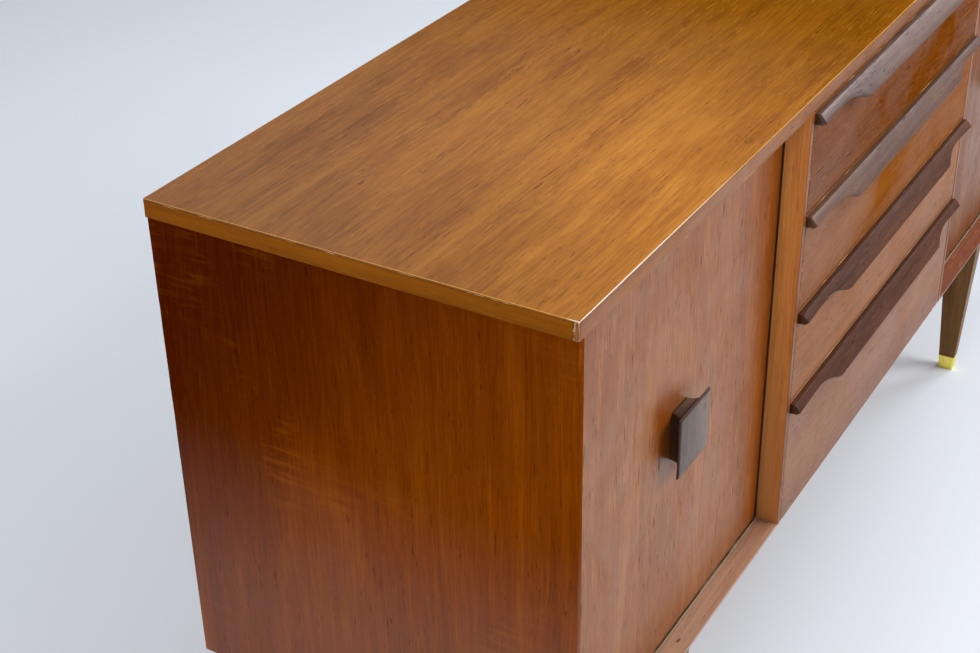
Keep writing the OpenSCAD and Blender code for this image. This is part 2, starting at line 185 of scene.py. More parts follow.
def wood(
    name, grain, dark, mid, light, pore, worn, gloss=0.35, specular=0.5, rings=None,
    figure=1.0, pores=0.5, pore_size=1.0, ripple=0.0, wear=0.5, steady=0.0, shift=(0, 0, 0),
    tints=(), fleck=0.0, contrast=1.0, fine_grain=0.0, glints=0.55, sheen_colour=(1.0, 1.0, 1.0, 1.0),
):
    """Lacquered wood: growth rings, streaks, fibres, open pores, flecks and worn edges.

    rings gives the axis across the face, the place of the heart on it, the place of the
    heart along the grain and how steeply the rings close over each other. worn, specular
    and each tint's share may be functions of the shader.
    """
    s = Shader(name)
    bend = s.noise(s.stretch(along(grain, 1.3, 6.0), shift), detail=3.0)
    push = s.math("MULTIPLY", s.math("SUBTRACT", bend, 0.5), GRAIN_BEND)
    bent = s.node("ShaderNodeVectorMath", {
        0: s.place,
        1: s.node("ShaderNodeCombineXYZ", {
            i: 0.0 if axis == grain else push for i, axis in enumerate("xyz")
        }).outputs[0],
    }, operation="ADD").outputs[0]

    def layer(with_grain, across, detail, rough=0.5, twist=0.0, move=0.0):
        vector = s.node("ShaderNodeMapping", {
            "Vector": bent, "Scale": along(grain, with_grain, across),
            "Location": tuple(c + move for c in shift),
        }).outputs[0]
        return s.noise(vector, detail=detail, rough=rough, twist=twist)

    # The grain's tone, from broad figure to fine fibres, and its colour.
    if rings:
        broad = ring_figure(s, grain, bent, push, shift, *rings)
    else:
        broad = layer(0.9, 16.0, 4.0, 0.6, 0.3)
    streak = layer(2.6 + 7.0 * fine_grain, 110.0 + 150.0 * fine_grain, 5.0, 0.66)
    fibre = layer(12.0 + 12.0 * fine_grain, 640.0, 3.0, 0.62)
    blotch = s.noise(s.stretch((4.0, 4.0, 4.0), shift), detail=3.0, rough=0.6)
    tone = s.math("MULTIPLY", broad, BROAD_SHARE * figure)
    for part, share in ((streak, STREAK_SHARE), (fibre, FIBRE_SHARE), (blotch, BLOTCH_SHARE)):
        tone = s.math("ADD", tone, s.math("MULTIPLY", part, share))
    centre = (BROAD_SHARE * figure + STREAK_SHARE + FIBRE_SHARE + BLOTCH_SHARE) / 2
    reach = 0.155 / contrast
    colour = s.ramp(tone, [(centre - reach, dark), (centre, mid), (centre + 0.94 * reach, light)])
    for share, shade in tints:
        colour = s.mix(share(s), colour, shade, "MULTIPLY")

    # Fine and open pores, and the glints beside them.
    fine = s.band(layer(85.0 / pore_size, 1100.0 / pore_size, 2.0), 0.60, 0.69)
    open_pore = s.band(layer(42.0 / pore_size, 520.0 / pore_size, 2.0, move=3.7), 0.655, 0.70)
    glint = s.band(layer(36.0 / pore_size, 460.0 / pore_size, 2.0, move=8.3), 0.60, 0.68)
    clump = s.band(broad, 0.57, 0.44)
    drift = s.band(layer(6.0, 50.0, 3.0, 0.6, move=5.1), 0.45, 0.58)
    fine = s.math("MULTIPLY", fine, s.band(drift, 0.0, 1.0, 0.35, 1.0))
    open_pore = s.math("MULTIPLY", open_pore, s.math("MAXIMUM", clump, drift))
    dash = s.math("MAXIMUM", s.math("MULTIPLY", fine, 0.6), open_pore)
    glint = s.math("MULTIPLY", glint, s.band(clump, 0.0, 1.0, 0.25, 1.0))
    colour = s.mix(s.math("MULTIPLY", glint, glints * pores), colour, light)
    colour = s.mix(s.math("MULTIPLY", dash, pores), colour, pore)

    # Rippled grain and dark flecks.
    if ripple:
        wave = s.noise(s.stretch(along(grain, 120.0, 14.0), shift), detail=3.0, twist=1.2)
        mask = s.band(s.noise(s.stretch((6.0, 6.0, 4.0), shift), detail=3.0), 0.48, 0.66)
        light_ripple = s.math("MULTIPLY", s.band(wave, 0.46, 0.64), mask)
        colour = s.mix(s.math("MULTIPLY", light_ripple, ripple), colour, light)
    if fleck:
        spots = s.noise(s.stretch(along(grain, 60.0, 240.0), shift), detail=1.0)
        colour = s.mix(s.math("MULTIPLY", s.band(spots, 0.74, 0.79), fleck), colour, pore)

    # Edges rubbed through the lacquer, with grime beside them; the top's rubbed colour is partly a painted
    # highlight, and the pull's is painted shade on its bevel. A chip's edge value is 2.
    edge = s.attribute("edge")
    rub = s.noise(s.stretch(along(grain, 26.0, 120.0), shift), detail=4.0, rough=0.7)
    patchy = s.band(rub, 0.55, 0.66, steady, 1.0)
    rubbed = s.math("MULTIPLY", s.band(edge, 0.60, 0.98), patchy)
    rubbed = s.math("MAXIMUM", rubbed, s.band(edge, 1.2, 1.7))
    colour = s.mix(s.math("MULTIPLY", rubbed, wear), colour, worn(s) if callable(worn) else worn)
    grime = s.math("MULTIPLY", s.band(edge, 0.02, 0.25), s.band(edge, 0.75, 0.45))
    colour = s.mix(s.math("MULTIPLY", grime, 0.5 * wear), colour, pore)

    # Smeared lacquer, duller in the pores and on bare edges.
    smear = s.noise(s.stretch((11.0, 11.0, 11.0), shift), detail=6.0, rough=0.68)
    roughness = s.band(smear, 0.3, 0.72, gloss - 0.07, gloss + 0.09)
    roughness = s.math("ADD", roughness, s.math("MULTIPLY", dash, 0.25))
    roughness = s.math("ADD", roughness, s.math("MULTIPLY", rubbed, 0.15), clamp=True)
    s.set(Base_Color=colour, Roughness=roughness)
    s.set(Specular_IOR_Level=specular(s) if callable(specular) else specular, Specular_Tint=sheen_colour)
    height = s.math("SUBTRACT", s.math("MULTIPLY", fibre, 0.4), s.math("MULTIPLY", dash, 1.1))
    height = s.math("ADD", height, s.math("MULTIPLY", smear, 0.3))
    s.bump(height, 0.28, 0.6 * MM)
    return s.material


def metal(name, colour, tarnish, gloss, scratch=0.5):
    """Metal with drawn scratches, tarnish patches and brighter rubbed edges."""
    s = Shader(name)
    patch = s.noise(s.stretch((45.0, 45.0, 30.0)), detail=5.0, rough=0.65)
    fine = s.noise(s.stretch((900.0, 900.0, 60.0)), detail=2.0)
    base = s.mix(s.band(patch, 0.42, 0.70), colour, tarnish)
    bright = tuple(min(1.0, c * 1.25) for c in colour[:3]) + (1.0,)
    base = s.mix(s.math("MULTIPLY", s.attribute("edge"), 0.4), base, bright)
    scratches = s.math("MULTIPLY", fine, 0.12 * scratch)
    rough = s.math("ADD", s.band(patch, 0.3, 0.8, gloss, gloss + 0.22), scratches)
    s.set(Base_Color=base, Metallic=1.0, Roughness=rough)
    s.bump(s.math("ADD", fine, patch), 0.12 * scratch, 0.2 * MM)
    return s.material


# Colour and sheen that change by place on the object. They were tuned against the photo, so
# they hold a part of its light as well as the wood's own colour.

def top_painted_reflection(s):
    """Painted reflection: the top turns greyer towards its back left corner."""
    slide = s.math("SUBTRACT", s.math("MULTIPLY", s.axis(s.place, "Y"), 1.1), s.axis(s.place, "X"))
    wander = s.noise(s.stretch((2.2, 6.0, 2.0)), detail=3.0)
    return s.band(s.math("ADD", slide, s.math("MULTIPLY", wander, 0.35)), 0.40, 1.15)


def top_worn_edge_and_highlight(s):
    """The top's edge is rubbed golden, and to bare, near white wood by the front left corner; this light
    line is partly a painted highlight along the arris.
    """
    left = s.band(s.axis(s.place, "X"), -0.45, -0.72)
    front = s.band(s.axis(s.place, "Y"), FRONT + 14.25 * MM, FRONT + 4.25 * MM)
    return s.mix(s.math("MULTIPLY", left, front), srgb(204, 146, 66), srgb(250, 232, 212))


def top_far_painted_shade(s):
    """Painted shade: the top is a deeper gold towards its right end."""
    return s.band(s.axis(s.place, "X"), -0.62, -0.05)


def top_blotch(s):
    """Darker patches, stretched along the grain, mostly near the left end."""
    patch = s.band(s.noise(s.stretch((4.5, 13.0, 4.0), (1.0, 3.0, 0.0)), detail=4.0, rough=0.62), 0.47, 0.60)
    return s.math("MULTIPLY", patch, s.band(s.axis(s.place, "X"), 0.1, -0.5, 0.2, 1.0))


def low_shade(s):
    """Darker towards the foot."""
    return s.band(s.axis(s.place, "Z"), 0.70, 0.28)


def high_shade(s):
    """Darker towards the top at the back of an end panel."""
    slide = s.math("ADD", s.axis(s.place, "Y"), s.math("MULTIPLY", s.axis(s.place, "Z"), 0.9))
    return s.band(slide, 0.35, 0.85)


def stile_front_painted_shade(s):
    """Painted shade: the stile's narrow front face is as dark as the drawers beside it."""
    return s.band(s.axis(s.place, "Y"), FRONT + 0.85 * MM, FRONT + 0.15 * MM)


def behind_front_painted_shade(s):
    """Painted shade: darker just behind the fronts, in the gaps and recesses there."""
    return s.band(s.axis(s.place, "Y"), FRONT + 54.25 * MM, FRONT + 47.25 * MM)


def drawer_sheen(s):
    """More sheen on the lowest drawer and near the left ends, and patches of dulled lacquer."""
    patch = s.noise(s.stretch((5.0, 5.0, 9.0)), detail=4.0, rough=0.6)
    low = s.band(s.axis(s.place, "Z"), 0.58, 0.34, 0.04, 0.90)
    left = s.band(s.axis(s.place, "X"), 0.02, -0.30, 0.0, 0.36)
    left = s.math("MULTIPLY", left, s.band(s.axis(s.place, "Z"), 0.76, 0.60, 0.35, 1.0))
    return s.math("ADD", s.math("MAXIMUM", low, left), s.band(patch, 0.35, 0.7, -0.06, 0.06), clamp=True)


def upper(s):
    """Painted shade: the upper drawers are a deeper brown."""
    return s.band(s.axis(s.place, "Z"), 0.48, 0.72)


def lowest_drawer(s):
    """The lowest drawer's colour is slightly darker."""
    return s.band(s.axis(s.place, "Z"), 0.46, 0.36)


def lower_handles_painted_shade(s):
    """Painted shade: the lower handles are darker."""
    return s.band(s.axis(s.place, "Z"), 0.64, 0.50)


def handle_sheen(s):
    """The upper handles have more sheen."""
    return s.band(s.axis(s.place, "Z"), 0.50, 0.76, 0.10, 0.46)


def right_half_painted_shade(s):
    """Painted shade: the door and the rail are darker on the right half."""
    return s.band(s.axis(s.place, "X"), -0.1, 0.4)


def door_sheen(s):
    """More sheen on the left door than on the right one, in uneven patches.

    It fades towards the top, and on the strip of the left door beside the stile.
    """
    x, z = s.axis(s.place, "X"), s.axis(s.place, "Z")
    patch = s.noise(s.stretch((7.0, 5.0, 4.0)), detail=4.0, rough=0.6)
    side = s.band(x, -0.3, 0.4, 0.56, 0.18)
    high = s.math("ADD", s.band(z, 0.58, 0.74, 0.0, -0.20), s.band(z, 0.46, 0.32, 0.0, 0.10))
    sheen = s.math("ADD", s.math("ADD", side, high), s.band(patch, 0.35, 0.7, -0.12, 0.12))
    strip = s.math("MAXIMUM", s.band(x, -0.350, -0.308, 1.0, 0.12), s.band(x, 0.0, 0.1))
    return s.math("MULTIPLY", sheen, strip)


def pull_sheen(s):
    """The plate shines, and its bevel stays dark."""
    return s.band(s.attribute("edge"), 0.15, 0.7, 0.43, 0.14)


def case_sheen(s):
    """A little haze near the foot of an end panel."""
    return s.band(s.axis(s.place, "Z"), 0.58, 0.30, 0.0, 0.45)


def rail_sheen(s):
    """The left rail has more sheen than the right one."""
    return s.band(s.axis(s.place, "X"), 0.0, 0.3, 0.8, 0.12)


def top_sheen(s):
    """The top's sheen fades towards its right end and its front."""
    left = s.band(s.axis(s.place, "X"), -0.75, -0.1, 0.42, 0.0)
    return s.math("MULTIPLY", left, s.band(s.axis(s.place, "Y"), -0.22, 0.12, 0.35, 1.0))


TOP = wood(
    "top_veneer", "x",
    dark=srgb(116, 64, 16), mid=srgb(166, 103, 32), light=srgb(196, 132, 48), pore=srgb(82, 44, 12),
    # The top's worn edge colour is partly a painted highlight along the arris.
    worn=top_worn_edge_and_highlight, gloss=0.36, specular=top_sheen, rings=("y", 0.34, -2.2, 0.045), figure=0.62,
    pores=0.8, pore_size=1.05, wear=1.0, steady=0.75, contrast=0.9, fine_grain=1.0, glints=0.3,
    # The first tint is a painted reflection, greyer towards the back left; the second is painted shade, a
    # deeper gold towards the right end.
    tints=(
        (top_painted_reflection, srgb(196, 194, 216)), (top_far_painted_shade, srgb(182, 174, 120)),
        (top_blotch, srgb(238, 233, 230)),
    ),
)
BAND_LONG = wood(
    "front_band", "x",
    dark=srgb(104, 58, 22), mid=srgb(130, 76, 34), light=srgb(154, 96, 48), pore=srgb(46, 20, 6),
    worn=srgb(240, 216, 176), gloss=0.42, specular=0.20, pores=0.5, wear=1.0, steady=0.1,
    shift=(3, 1, 2), contrast=0.8, sheen_colour=(1.0, 0.90, 0.70, 1.0),
)
BAND_SIDE = wood(
    "side_band", "y",
    dark=srgb(100, 52, 3), mid=srgb(128, 70, 6), light=srgb(154, 92, 14), pore=srgb(46, 20, 1),
    worn=srgb(238, 206, 150), gloss=0.45, specular=0.03, pores=0.35, wear=0.85, shift=(5, 2, 2),
    contrast=0.6,
)
CASE = wood(
    "case_veneer", "z",
    dark=srgb(78, 31, 2), mid=srgb(119, 54, 3), light=srgb(150, 80, 10), pore=srgb(40, 12, 1),
    worn=srgb(176, 108, 44), gloss=0.5, specular=case_sheen, rings=("y", 0.06, -0.6, 0.10),
    figure=0.75, pores=0.45, ripple=0.30, wear=0.4, shift=(1, 4, 2), fleck=0.5, contrast=0.62,
    fine_grain=0.5, glints=0.2, tints=((high_shade, srgb(156, 116, 124)),),
)
DOOR = wood(
    "door_veneer", "z",
    dark=srgb(96, 42, 4), mid=srgb(134, 66, 11), light=srgb(176, 108, 44), pore=srgb(92, 42, 8),
    worn=srgb(206, 150, 92), gloss=0.36, specular=door_sheen, rings=("x", -0.57, 0.02, 0.16),
    figure=0.8, pores=0.95, pore_size=1.35, wear=0.35, shift=(2, 2, 7), contrast=0.66,
    # This tint is painted shade on the right half.
    fine_grain=0.6, glints=0.5, tints=((right_half_painted_shade, srgb(214, 220, 226)),),
    sheen_colour=(1.0, 0.91, 0.53, 1.0),
)
DRAWER = wood(
    "drawer_veneer", "x",
    dark=srgb(105, 54, 15), mid=srgb(139, 79, 26), light=srgb(166, 104, 46), pore=srgb(70, 30, 8),
    worn=srgb(214, 160, 100), gloss=0.54, specular=drawer_sheen, figure=0.8, pores=0.7, wear=0.6,
    steady=0.1, shift=(7, 2, 1), contrast=0.75, fine_grain=0.6,
    # The first tint is painted shade on the upper drawers.
    tints=((upper, srgb(206, 190, 160)), (lowest_drawer, srgb(232, 220, 208))),
    sheen_colour=(1.0, 0.97, 0.85, 1.0),
)
RAIL = wood(
    "rail_wood", "x",
    dark=srgb(112, 72, 50), mid=srgb(148, 106, 80), light=srgb(176, 132, 102), pore=srgb(54, 28, 18),
    worn=srgb(206, 200, 168), gloss=0.34, specular=rail_sheen, pores=0.8, pore_size=1.2, wear=1.0,
    # This tint is painted shade on the right half of the rail.
    steady=0.8, shift=(4, 3, 3), fleck=0.8, fine_grain=0.5, tints=((right_half_painted_shade, srgb(212, 164, 144)),),
)
STILE = wood(
    "stile_wood", "z",
    dark=srgb(200, 120, 50), mid=srgb(238, 156, 78), light=srgb(250, 184, 108), pore=srgb(130, 68, 26),
    worn=srgb(240, 184, 120), gloss=0.4, specular=0.3, pores=0.4, wear=0.5, shift=(6, 1, 4),
    # The second tint is painted shade on the stile's front face.
    tints=((low_shade, srgb(204, 196, 196)), (stile_front_painted_shade, srgb(146, 122, 104))),
)
HANDLE = wood(
    "handle_wood", "x",
    dark=srgb(60, 35, 22), mid=srgb(90, 57, 37), light=srgb(116, 78, 53), pore=srgb(30, 15, 10),
    worn=srgb(140, 100, 84), gloss=0.44, specular=handle_sheen, pores=0.6, wear=0.35, shift=(2, 6, 5),
    # This tint is painted shade on the lower handles.
    tints=((lower_handles_painted_shade, srgb(236, 212, 192)),), sheen_colour=(1.0, 0.92, 0.98, 1.0),
)
PULL = wood(
    "pull_wood", "z",
    dark=srgb(30, 18, 11), mid=srgb(66, 44, 29), light=srgb(98, 70, 47), pore=srgb(20, 11, 7),
    # The pull's worn colour is painted shade: it keeps the chamfered bevel dark.
    worn=srgb(60, 36, 36), gloss=0.34, specular=pull_sheen, pores=0.7, wear=0.9, steady=0.9,
    shift=(1, 6, 9), contrast=1.5, sheen_colour=(1.0, 0.89, 0.78, 1.0),
)
LEG = wood(
    "leg_wood", "z",
    dark=srgb(74, 44, 14), mid=srgb(104, 68, 26), light=srgb(130, 92, 42), pore=srgb(44, 24, 8),
    worn=srgb(170, 134, 88), gloss=0.42, specular=0.22, pores=0.5, wear=0.5, shift=(8, 1, 1),
)


def inside_wood(name, grain, shift):
    """Plain wood of the case's inside, with painted shade just behind the fronts."""
    return wood(
        name, grain,
        dark=srgb(128, 84, 50), mid=srgb(160, 112, 70), light=srgb(182, 136, 92), pore=srgb(98, 60, 34),
        worn=srgb(196, 160, 118), gloss=0.55, specular=0.3, pores=0.4, wear=0.3, shift=shift,
        # This tint is painted shade just behind the fronts.
        tints=((behind_front_painted_shade, srgb(130, 106, 86)),),
    )


def box_wood(name, grain, shift):
    """Pale bare wood of the drawer boxes."""
    return wood(
        name, grain,
        dark=srgb(176, 138, 94), mid=srgb(204, 168, 122), light=srgb(222, 190, 146),
        pore=srgb(140, 100, 62), worn=srgb(228, 202, 166), gloss=0.55, specular=0.3, pores=0.35,
        wear=0.3, shift=shift,
    )


INSIDE_X = inside_wood("inside_x", "x", (9, 4, 1))
INSIDE_Z = inside_wood("inside_z", "z", (9, 4, 6))
BOX_X = box_wood("drawer_box_x", "x", (3, 9, 1))
BOX_Y = box_wood("drawer_box_y", "y", (3, 9, 5))
BRASS = metal("brass", (0.98, 0.84, 0.17, 1.0), (0.78, 0.60, 0.11, 1.0), 0.26)
STEEL = metal("steel", (0.62, 0.61, 0.58, 1.0), (0.40, 0.37, 0.33, 1.0), 0.28)


def hardboard():
    """The back panel's brown hardboard, felted and cloudy."""
    s = Shader("hardboard")
    felt = s.noise(s.stretch((420.0, 420.0, 420.0)), detail=6.0, rough=0.75)
    cloud = s.noise(s.stretch((4.0, 4.0, 4.0)), detail=4.0, rough=0.6)
    tone = s.math("ADD", s.math("MULTIPLY", felt, 0.55), s.math("MULTIPLY", cloud, 0.45))
    browns = [(0.34, srgb(84, 54, 30)), (0.5, srgb(112, 76, 46)), (0.68, srgb(136, 98, 64))]
    s.set(
        Base_Color=s.ramp(tone, browns), Roughness=s.band(felt, 0.3, 0.7, 0.62, 0.82),
        Specular_IOR_Level=0.25,
    )
    s.bump(felt, 0.35, 0.4 * MM)
    return s.material


def plastic():
    """The door catches' brown plastic, with dust on it."""
    s = Shader("catch_plastic")
    grainy = s.noise(s.stretch((700.0, 700.0, 700.0)), detail=4.0)
    dust = s.noise(s.stretch((60.0, 60.0, 60.0)), detail=4.0, rough=0.7)
    s.set(
        Base_Color=s.mix(s.band(dust, 0.4, 0.7), srgb(70, 48, 34), srgb(92, 68, 50)),
        Roughness=s.band(grainy, 0.3, 0.7, 0.38, 0.52),
    )
    s.bump(grainy, 0.15, 0.2 * MM)
    return s.material


HARDBOARD = hardboard()
PLASTIC = plastic()


# ---- building meshes ----

# Edges rounded by less than this stay unworn.
WORN_RADIUS = 0.5 * MM


def offset(section, inset):
    """The polygon moved inwards by inset; it is drawn anticlockwise."""
    moved = []
    for i, p in enumerate(section):
        a = (p - section[i - 1]).normalized()
        b = (section[(i + 1) % len(section)] - p).normalized()
        na, nb = Vector((-a.y, a.x)), Vector((-b.y, b.x))
        moved.append(p + (na + nb) * inset / (1 + na.dot(nb)))
    return moved


def eased(section, radii, support, steps=3):
    """Points round the polygon with its corners rounded, each with its share of edge wear."""
    ring = []
    count = len(section)
    for i, p in enumerate(section):
        before, after = section[i - 1] - p, section[(i + 1) % count] - p
        room = 0.45 * min(before.length, after.length)
        a, b = before.normalized(), after.normalized()
        half_turn = math.acos(max(-1.0, min(1.0, -a.dot(b)))) / 2
        reach = min(radii[i] * math.tan(half_turn), 0.8 * room)
        far = min(max(support, 1.3 * reach), room)
        wear = 1.0 if radii[i] > WORN_RADIUS else 0.0
        ring.append((p + a * far, 0.0))
        for k in range(steps + 1):
            t = k / steps
            ring.append((p + a * reach * (1 - t) ** 2 + b * reach * t * t, wear))
        ring.append((p + b * far, 0.0))
    return ring


LIFT = {
    "x": lambda at, p: Vector((at, p.x, p.y)),
    "y": lambda at, p: Vector((p.x, at, p.y)),
    "z": lambda at, p: Vector((p.x, p.y, at)),
}


def loft(bm, rings, edge):
    """Skins closed rings of (point, wear) and closes both ends."""
    made = []
    for ring in rings:
        made.append([bm.verts.new(p) for p, _ in ring])
        for v, (_, w) in zip(made[-1], ring):
            v[edge] = w
    for low, high in zip(made, made[1:]):
        for i in range(len(low)):
            j = (i + 1) % len(low)
            bm.faces.new((low[i], low[j], high[j], high[i]))
    bm.faces.new(reversed(made[0]))
    bm.faces.new(made[-1])


def add_length(bm, edge, section_at, radii, axis, places, end, support):
    """A solid along an axis, its section given at each place, with rounded ends."""
    def ring(at, inset, shown_at, worn=False):
        points = eased(offset(section_at(at), inset), radii, support)
        return [(LIFT[axis](shown_at, p), 1.0 if worn else w) for p, w in points]

    def cap(at):
        return [(p, 0.0) for p, _ in ring(at, max(0.8 * support, end), at)]

    first, last = places[0], places[-1]
    turns = [math.pi / 2 * k / 3 for k in range(4)]
    worn = end > WORN_RADIUS
    past_end = max(support, 1.4 * end)
    rings = [cap(first)]
    for turn in turns:
        rings.append(ring(first, end * (1 - math.sin(turn)), first + end * (1 - math.cos(turn)), worn))
    rings.append(ring(first, 0.0, first + past_end))
    rings += [ring(at, 0.0, at) for at in places[1:-1]]
    rings.append(ring(last, 0.0, last - past_end))
    for turn in reversed(turns):
        rings.append(ring(last, end * (1 - math.sin(turn)), last - end * (1 - math.cos(turn)), worn))
    rings.append(cap(last))
    loft(bm, rings, edge)


def new_mesh():
    """An empty bmesh and its layer of edge wear."""
    bm = bmesh.new()
    return bm, bm.verts.layers.float.new("edge")


def chip(bm, edge, marks):
    """Pushes worn corners in at each mark: a place, a reach and a depth."""
    bm.normal_update()
    for place, reach, depth in marks:
        for v in bm.verts:
            near = 1 - (v.co - Vector(place)).length / reach
            if near > 0 and v[edge] > 0.5:
                v.co -= v.normal * depth * min(1.0, 2 * near)
                v[edge] = 2.0


def dent(bm, edge, depth, seed):
    """Pulls worn edges in unevenly, here and there as deep as a chip."""
    bm.normal_update()
    for v in bm.verts:
        if v[edge] > 0.5:
            rub = noise.noise(v.co * 70 + Vector((seed, 0, 0)))
            nick = max(0.0, noise.noise(v.co * 260 + Vector((0, seed, 7))) - 0.36)
            v.co -= v.normal * depth * (0.35 + 0.35 * rub + 3.0 * nick)


def piece(name, bm, body, material, replaced=(), dents=0.0, seed=0.0, marks=()):
    """Closes a bmesh into a named piece that rides on a body."""
    bmesh.ops.recalc_face_normals(bm, faces=bm.faces)
    edge = bm.verts.layers.float["edge"]
    if marks:
        chip(bm, edge, marks)
    if dents:
        dent(bm, edge, dents, seed)
    mesh = bpy.data.meshes.new(name)
    bm.to_mesh(mesh)
    bm.free()
    mesh.polygons.foreach_set("use_smooth", [True] * len(mesh.polygons))
    mesh.materials.append(material)
    made = bpy.data.objects.new(name, mesh)
    SCENE.collection.objects.link(made)
    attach(made, body)
    if replaced:
        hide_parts(*replaced)
    return made


def spread(low, high, step):
    """Evenly spaced places from low to high, about a step apart."""
    count = max(2, round((high - low) / step))
    return [low + (high - low) * k / count for k in range(count + 1)]


def prism(name, section, axis, low, high, body, slot, material, replaced=(),
          radius=0.0007, support=0.003, step=0.02, dents=0.0, seed=0.0, marks=()):
    """A board or rail of one section, with eased edges and ends."""
    bm, edge = new_mesh()
    points = [Vector(p) for p in section]
    radii = [radius] * len(points) if isinstance(radius, float) else radius
    margin = max(support, 1.4 * max(radii)) + 0.0004
    places = [low] + spread(low + margin, high - margin, step)[1:-1] + [high]
    add_length(bm, edge, lambda at: points, radii, axis, places, max(radii), support)
    made = piece(name, bm, body, material, replaced, dents, seed, marks)
    made.modifiers.new("level", "WEIGHTED_NORMAL")
    return made


def board(name, node, axis, body, slot, material, low=None, high=None, **options):
    """A board that stands for a CAD node, or for the part of it between two corners."""
    box_low, box_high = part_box(node)
    low, high = low or box_low, high or box_high
    a, b = ["xyz".index(letter) for letter in "xyz" if letter != axis]
    section = [(low[a], low[b]), (high[a], low[b]), (high[a], high[b]), (low[a], high[b])]
    i = "xyz".index(axis)
    return prism(name, section, axis, low[i], high[i], body, slot, material, (node,), **options)


# ---- the top ----

# A sheet of veneer covers the core and the bands, and its edge shows as a fine light line, partly wear and
# partly a painted highlight.
top_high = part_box("top_panel")[1]
band_low, band_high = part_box("top_edge_bands")
BAND = 5 * MM
SHEET = 0.9 * MM
SHEET_OVERLAP = 0.6 * MM
# Chips as in the photo: two along the left edge, by Y, and one on the front band, by X.
BACK_CHIP = 0.164
MIDDLE_CHIP = -0.111
FRONT_CHIP = -0.594
sheet_z = top_high.z - SHEET
back_of_front_band = band_low.y + BAND
board(
    "top_board", "top_panel", "x", "case", "top_veneer", TOP,
    high=Vector((top_high.x, top_high.y, sheet_z)), radius=0.0002, step=0.1,
)
board(
    "top_sheet", "top_panel", "x", "case", "top_veneer", TOP,
    low=Vector((band_low.x, band_low.y, sheet_z - SHEET_OVERLAP)),
    high=Vector((band_high.x, band_high.y, top_high.z)),
    radius=[0.0007, 0.0001, 0.0007, 0.0007], support=0.0016, step=0.005,
    marks=[
        ((band_low.x, band_low.y, top_high.z), 0.0045, 0.0006),
        ((band_low.x, BACK_CHIP, top_high.z), 0.006, 0.0005),
    ],
)
board(
    "front_band", "top_edge_bands", "x", "case", "edge_band", BAND_LONG,
    high=Vector((band_high.x, back_of_front_band, sheet_z)),
    radius=[0.0007, 0.0001, 0.0001, 0.0006], support=0.0018, step=0.005, dents=0.0006, seed=3.0,
    marks=[
        ((band_low.x, band_low.y, sheet_z), 0.006, 0.0010),
        ((FRONT_CHIP, band_low.y, band_low.z), 0.004, 0.0010),
    ],
)
for side_name, x, outer_corner in (("left", band_low.x, 3), ("right", band_high.x - BAND, 2)):
    board(
        side_name + "_band", "top_edge_bands", "y", "case", "edge_band", BAND_SIDE,
        low=Vector((x, back_of_front_band, band_low.z)), high=Vector((x + BAND, band_high.y, sheet_z)),
        radius=[0.0006 if k == outer_corner else 0.0004 for k in range(4)],
        support=0.0018, step=0.005, dents=0.0004, seed=5.0,
        marks=[
            ((band_low.x, BACK_CHIP, sheet_z), 0.007, 0.0007),
            ((band_low.x, MIDDLE_CHIP, sheet_z), 0.004, 0.0006),
        ],
    )

# ---- the case ----

BACK_REBATE = 6 * MM
LIP = 7 * MM
RAIL_NOSE = 3 * MM
RAIL_UNDERCUT = 8 * MM
RAIL_FALL = 4.5 * MM
lip_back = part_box("left_door")[1].y + MM
back_low, back_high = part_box("back_panel")
end_low, end_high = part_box("right_end_panel")
divider_low, divider_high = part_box("right_divider")
stile_low, stile_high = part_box("right_stile")
bottom_low, bottom_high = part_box("bottom_panel")


def mirrored(section, side):
    """A section drawn for the right side, anticlockwise on either side."""
    return section if side > 0 else [(-x, y) for x, y in reversed(section)]


for side_name, side in (("left", -1), ("right", 1)):
    prism(
        side_name + "_end_board",
        mirrored([
            (end_high.x - LIP, end_low.y), (end_high.x, end_low.y), (end_high.x, end_high.y),
            (end_low.x + BACK_REBATE, end_high.y), (end_low.x + BACK_REBATE, back_low.y),
            (end_low.x, back_low.y), (end_low.x, lip_back), (end_high.x - LIP, lip_back),
        ], side),
        "z", end_low.z, end_high.z, "case", "case_veneer", CASE, (side_name + "_end_panel",),
        support=0.002, step=0.012, dents=0.0004, seed=2.0 + side,
    )
    board(
        side_name + "_stile_board", side_name + "_stile", "z", "case", "stile_wood", STILE,
        radius=0.0004, support=0.0018, step=0.012,
    )
    prism(
        side_name + "_divider_board",
        mirrored([
            (divider_low.x, divider_low.y), (stile_low.x, divider_low.y),
            (stile_low.x, stile_high.y), (divider_high.x, stile_high.y),
            (divider_high.x, divider_high.y), (divider_low.x, divider_high.y),
        ], side),
        "z", divider_low.z, divider_high.z, "case", "inside_wood", INSIDE_Z,
        (side_name + "_divider",), radius=0.0004, support=0.001, step=0.05,
    )
    low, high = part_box(side_name + "_bottom_rail")
    prism(
        side_name + "_rail",
        [
            (low.y, high.z - RAIL_FALL), (low.y + RAIL_UNDERCUT, low.z), (high.y, low.z),
            (high.y, high.z), (low.y, high.z - RAIL_FALL + RAIL_NOSE),
        ],
        "x", low.x, high.x, "case", "front_veneer", RAIL, (side_name + "_bottom_rail",),
        radius=[0.0005, 0.0005, 0.0004, 0.0018, 0.0005], support=0.0016, step=0.008, dents=0.0005,
        seed=11.0 + side,
    )
    board(
        side_name + "_shelf_board", side_name + "_shelf", "x", "case", "inside_wood", INSIDE_X,
        radius=0.0012, step=0.05,
    )
    board(
        side_name + "_door_board", side_name + "_door", "z", side_name + "_door_body",
        "front_veneer", DOOR, radius=0.0008, step=0.014, dents=0.0004, seed=14.0 + side,
    )

